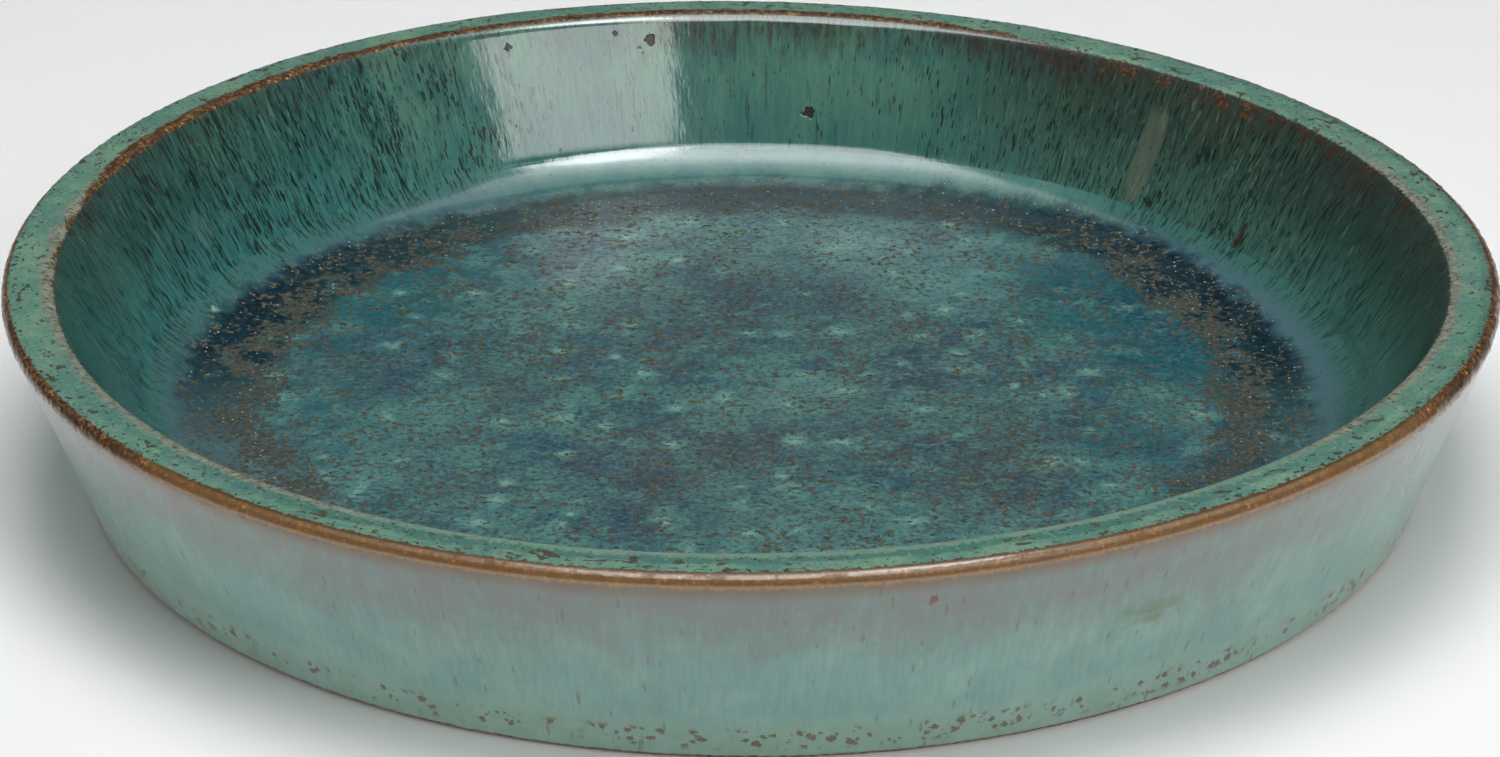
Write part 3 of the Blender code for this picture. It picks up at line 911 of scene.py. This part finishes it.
def floor_glaze(mat):
    """Pooled glaze of the floor, speckled with iron, which crowds into a dark crust by the cove."""
    place = mat.position
    flat = mat.scaled(place, (1.0, 1.0, 0.0))
    colour = floor_colour(mat, flat)
    radius = mat.vector_math("LENGTH", flat, output="Value")
    wander = mat.swing(20, detail=4, roughness=0.6, seed=40, vector=place)
    wandering = mat.total(radius, (wander, 26.0))
    inset = mat.math("SUBTRACT", wandering, ring_edge(mat))
    behind = mat.inverse(mat.towards(FRONT, 80))
    sides = mat.most(mat.towards(28, 66), (mat.towards(160, 50), 0.8))
    clear = mat.drifts(18, detail=6, roughness=0.7, seed=43, vector=place)
    clear_band = mat.span(inset, -58.0, -8.0, 26.0)
    clear_share = mat.product(clear_band, mat.rise(sides, 0.0, 0.4), clear, 0.55)
    colour = mat.tint(colour, (0, 84, 98), clear_share)
    at_back = mat.blend(mat.towards(BACK, 60), 1.0, 0.88)
    front_left = mat.towards(212, 42)
    hazy = mat.product(mat.span(inset, -24.0, 6.0, 10.0), front_left, 0.6)
    colour = mat.tint(colour, (92, 114, 120), hazy)
    front_right = mat.product(mat.towards(-30, 40), 0.8)
    fading = mat.inverse(mat.product(mat.most(front_left, front_right), 0.85))
    navy_ring = mat.product(mat.span(inset, -22.0, 9.0, 9.0), behind, at_back, fading)
    navy_noise = mat.noise(9, detail=5, roughness=0.72, seed=44, vector=place)
    navy_drift = mat.rise(navy_noise, 0.38, 0.48)
    outermost = mat.rise(inset, -15.0, -9.0)
    navy = mat.product(navy_ring, mat.most(navy_drift, outermost), 0.93)
    deep = mat.blend(mat.drifts(2, seed=55, vector=place), (0, 14, 26), (12, 46, 62))
    colour = mat.blend(navy, colour, deep)
    broken = mat.blend(mat.towards(88, 60), 1.0, 0.5)
    inner = mat.blend(mat.towards(88, 60), -25.0, -16.0)
    from_inner = mat.rise(mat.math("SUBTRACT", inset, inner), -4.0, 4.0)
    crust_place = mat.product(from_inner, mat.fall(inset, -14.5, -6.5), behind, broken)
    crust_noise = mat.noise(10, detail=5, roughness=0.7, seed=46, vector=place)
    crust_drift = mat.rise(crust_noise, 0.40, 0.52)
    crowding = mat.product(crust_place, mat.most(crust_drift, 0.4))
    crowd = mat.drifts(16, seed=48, vector=place)
    limit = mat.total(0.61, (crowd, -0.065), (crowding, -0.16))
    specks = mat.noise(2.1, detail=4, roughness=0.64, seed=47, vector=place)
    # Painted shadow: a dark rim round each iron speck
    painted_speck_shadow = mat.above(specks, mat.total(limit, -0.025), 0.02)
    colour = mat.tint(colour, (20, 40, 46), painted_speck_shadow, 0.6)
    iron = mat.above(specks, limit, 0.015)
    grain = mat.drifts(1.2, detail=3, roughness=0.7, seed=45, vector=place)
    crusted = mat.blend(grain, (54, 57, 49), (82, 84, 73))
    scattered = mat.blend(grain, (64, 60, 46), (100, 94, 74))
    iron_tone = mat.blend(mat.rise(crowding, 0.1, 0.5), scattered, crusted)
    colour = mat.blend(mat.product(iron, 0.92), colour, iron_tone)
    black = mat.above(mat.noise(1.4, roughness=0.6, seed=50, vector=place), 0.635, 0.015)
    colour = mat.tint(colour, (14, 24, 28), black, 0.85)
    glints = mat.rise(mat.spots(flat, 2.3, 0.3, 0.45, "2D"), 0.1, 0.6)
    glinting = mat.product(glints, mat.most(navy_ring, crowding, 0.12), mat.most(grain, 0.4))
    colour = mat.tint(colour, (196, 210, 204), glinting)
    # Painted reflection of the lit back wall: a soft pale cloud on the floor's back left
    reflection_spot = mat.nearness(place, (-47.0, 78.0, FLOOR_HEIGHT), 32.0, 32.0)
    painted_reflection = mat.product(reflection_spot, mat.drifts(3, roughness=0.7, seed=56, vector=place), 0.3)
    colour = mat.tint(colour, (146, 176, 178), painted_reflection)
    height = mat.total((iron, grain, 0.06), (grain, 0.01))
    return Look(colour, mat.blend(iron, 0.3, 0.75), height, mat.blend(iron, 0.15, 0.04))


def cove_look(mat):
    """Glaze of the cove: bluer and darker at both sides, where a hazy reflection is painted, and a pale
    star at the left.
    """
    drift = mat.drifts(10, roughness=0.7, seed=53)
    colour = mat.blend(drift, (64, 118, 116), (80, 129, 119))
    sides = mat.rise(mat.most(mat.towards(LEFT, 80), mat.towards(RIGHT, 62)), 0.0, 0.5)
    outwards = mat.rise(mat.run, COVE_EDGE - 9.0, COVE_EDGE - 1.0)
    # Painted reflection: a bluish haze along the cove at both sides, darker by the crease
    side_tone_with_painted_haze = mat.blend(outwards, (76, 111, 120), (60, 108, 100))
    left = mat.product(mat.towards(160, 50), 0.5)
    side_tone_with_painted_haze = mat.tint(side_tone_with_painted_haze, (66, 116, 116), left)
    colour = mat.blend(mat.product(sides, 0.9), colour, side_tone_with_painted_haze)
    colour = mat.tint(colour, (20, 42, 42), dark_streaks(mat, sides), sides, outwards, 0.8)
    short = mat.noise(1.6, 1.8, roughness=0.6, seed=54)
    ticks = mat.rise(short, 0.655, 0.675)
    colour = mat.tint(colour, (78, 72, 48), ticks, 0.8)
    star = mat.rise(mat.mark(162.8, 151.7, 6, 4), 0.0, 1.0)
    colour = mat.tint(colour, (168, 206, 190), star, 0.8)
    return Look(colour, 0.2, mat.product(drift, 0.02), crease_coat(mat))


def floor_look(mat):
    """The floor's glaze, and the cove's over its edge."""
    wander = mat.swing(7, detail=4, roughness=0.65, seed=51)
    wandering = mat.total(mat.run, (wander, 14.0))
    outwards = mat.math("SUBTRACT", wandering, ring_edge(mat))
    steepness = mat.blend(mat.towards(BACK, 60), 1.0, 0.7)
    share = mat.rise(mat.product(outwards, steepness), -3.0, 4.0)
    return mat.over(share, floor_glaze(mat), cove_look(mat))


def softbox(name, centre, target, width, height, radiance, roll=0.0):
    """Area lamp of a brightness, facing a target. Lengths are in metres."""
    lamp = bpy.data.lights.new(name, "AREA")
    lamp.shape = "RECTANGLE"
    lamp.size = width
    lamp.size_y = height
    lamp.energy = radiance * math.pi * width * height
    placed = bpy.data.objects.new(name, lamp)
    bpy.context.scene.collection.objects.link(placed)
    placed.location = centre
    aim = (Vector(target) - Vector(centre)).to_track_quat("-Z", "Y").to_matrix()
    placed.rotation_euler = (aim @ Matrix.Rotation(math.radians(roll), 3, "Z")).to_euler()
    placed.visible_camera = False
    return placed


# Camera, in metres and degrees
CAMERA_DISTANCE = 1.171
CAMERA_ELEVATION = 25.02
CAMERA_PITCH = 24.242
CAMERA_ROLL = -0.072
CAMERA_SIDE = -0.00106
CAMERA_LENS = 107.38
CAMERA_SENSOR = 36.0


def add_camera():
    """The photograph's viewpoint, aimed just over the middle of the bowl's floor."""
    data = bpy.data.cameras.new("camera")
    data.lens = CAMERA_LENS
    data.sensor_width = CAMERA_SENSOR
    data.sensor_fit = "HORIZONTAL"
    camera = bpy.data.objects.new("camera", data)
    bpy.context.scene.collection.objects.link(camera)
    elevation = math.radians(CAMERA_ELEVATION)
    away, up = CAMERA_DISTANCE * math.cos(elevation), CAMERA_DISTANCE * math.sin(elevation)
    camera.location = (CAMERA_SIDE, -away, up)
    tilt = Euler((math.radians(90.0 - CAMERA_PITCH), 0.0, 0.0)).to_matrix()
    roll = Matrix.Rotation(math.radians(CAMERA_ROLL), 3, "Z")
    camera.rotation_euler = (tilt @ roll).to_euler()
    bpy.context.scene.camera = camera


# Studio, in metres
FLOOR_RADIUS = 6.0
FLOOR_WHITE = (0.96, 0.96, 0.96, 1.0)
WORLD_WHITE = (0.92, 0.96, 1.0, 1.0)
WORLD_STRENGTH = 0.05

# Low white cards all round, which light the outer wall
CARD_COUNT = 8
CARD_DISTANCE = 4.4
CARD_HEIGHT = 1.24
CARD_RADIANCE = 2.2

# What the glazes mirror overhead, as strips: near end, far end and radiance
OVERHEAD_WIDTH = 0.85
STRIP_HEIGHT = 1.3
OVERHEAD_STRIPS = (
    (-0.95, -0.20, 6.0),
    (-0.20, -0.05, 4.2),
    (-0.05, 0.22, 5.0),
    (0.22, 0.36, 3.4),
    (0.36, 0.52, 1.9),
    (0.52, 0.68, 1.2),
    (0.68, 0.95, 0.7),
)


def add_studio():
    """A pale floor, soft light from above and from the front right, and low cards all round."""
    scene = bpy.context.scene
    scene.view_settings.view_transform = "Standard"
    world = bpy.data.worlds.new("studio")
    world.use_nodes = True
    world.node_tree.nodes["Background"].inputs["Color"].default_value = WORLD_WHITE
    world.node_tree.nodes["Background"].inputs["Strength"].default_value = WORLD_STRENGTH
    scene.world = world
    bpy.ops.mesh.primitive_circle_add(vertices=128, radius=FLOOR_RADIUS, fill_type="NGON")
    ground = bpy.context.object
    ground.name = "studio_floor"
    material = bpy.data.materials.new("studio_paper")
    material.use_nodes = True
    shader = material.node_tree.nodes["Principled BSDF"]
    paper = {"Base Color": FLOOR_WHITE, "Roughness": 0.9, "Specular IOR Level": 0.2}
    for name, value in paper.items():
        shader.inputs[name].default_value = value
    ground.data.materials.append(material)
    place, below = (0.0, -0.04, 1.25), (0.0, -0.04, 0.0)
    overhead = softbox("overhead_softbox", place, below, OVERHEAD_WIDTH, 0.92, 4.8)
    overhead.visible_glossy = False
    for index, (near, far, radiance) in enumerate(OVERHEAD_STRIPS):
        middle = (near + far) / 2
        place, below = (0.0, middle, STRIP_HEIGHT), (0.0, middle, 0.0)
        name = "overhead_strip_%d" % index
        strip = softbox(name, place, below, OVERHEAD_WIDTH, far - near, radiance)
        strip.visible_diffuse = False
    hot = softbox("overhead_hot_part", (0.32, -0.12, 1.24), (0.32, -0.12, 0.0), 0.3, 0.5, 8.0)
    hot.visible_diffuse = False
    softbox("window_softbox", (0.75, -1.0, 1.0), (0.0, 0.0, 0.0), 0.84, 0.55, 3.7, -12.0)
    for index in range(CARD_COUNT):
        azimuth = (index + 0.5) * math.tau / CARD_COUNT
        across, away = CARD_DISTANCE * math.cos(azimuth), CARD_DISTANCE * math.sin(azimuth)
        middle = CARD_HEIGHT / 2
        width = 2.0 * CARD_DISTANCE * math.tan(math.pi / CARD_COUNT)
        name = "low_card_%d" % index
        card = softbox(name, (across, away, middle), (0.0, 0.0, middle), width, CARD_HEIGHT, CARD_RADIANCE)
        card.visible_glossy = False


# Coats of the walls and the rim: name, material, roughness of its gloss, node and slot, runs and step
COATS = (
    ("inner_wall_coat", "inner_wall_finish", 0.04, "inner_wall_glaze", COVE_EDGE, WALL_TOP, 0.75),
    ("rim_coat", "rim_finish", 0.15, "rim_glaze", RIM_INSIDE, RIM_OUTSIDE, 0.4),
    ("outer_wall_coat", "outer_wall_finish", 0.08, "outer_wall_glaze", OUTER_TOP, GLAZE_LINE, 1.0),
)


def add_bowl():
    """The five pieces of the bowl, each in place of its node."""
    floor = Finish("floor_glaze_finish", 0.12)
    floor.wear(floor_look(floor))
    turned_piece("floor_glaze_coat", floor_rings(), False, floor.material, "floor_glaze")
    for name, finish_name, gloss, node, start, end, step in COATS:
        coat = Finish(finish_name, gloss)
        coat.wear(along_the_bowl(coat, start, end))
        turned_piece(name, coat_rings(start, end, step), True, coat.material, node)
    clay = Finish("clay_finish", 0.1)
    clay.wear(along_the_bowl(clay, WALL_TOP, OUTLINE.total))
    turned_piece("clay_body", body_rings(), False, clay.material, "stoneware_body")


add_camera()
add_studio()
add_bowl()
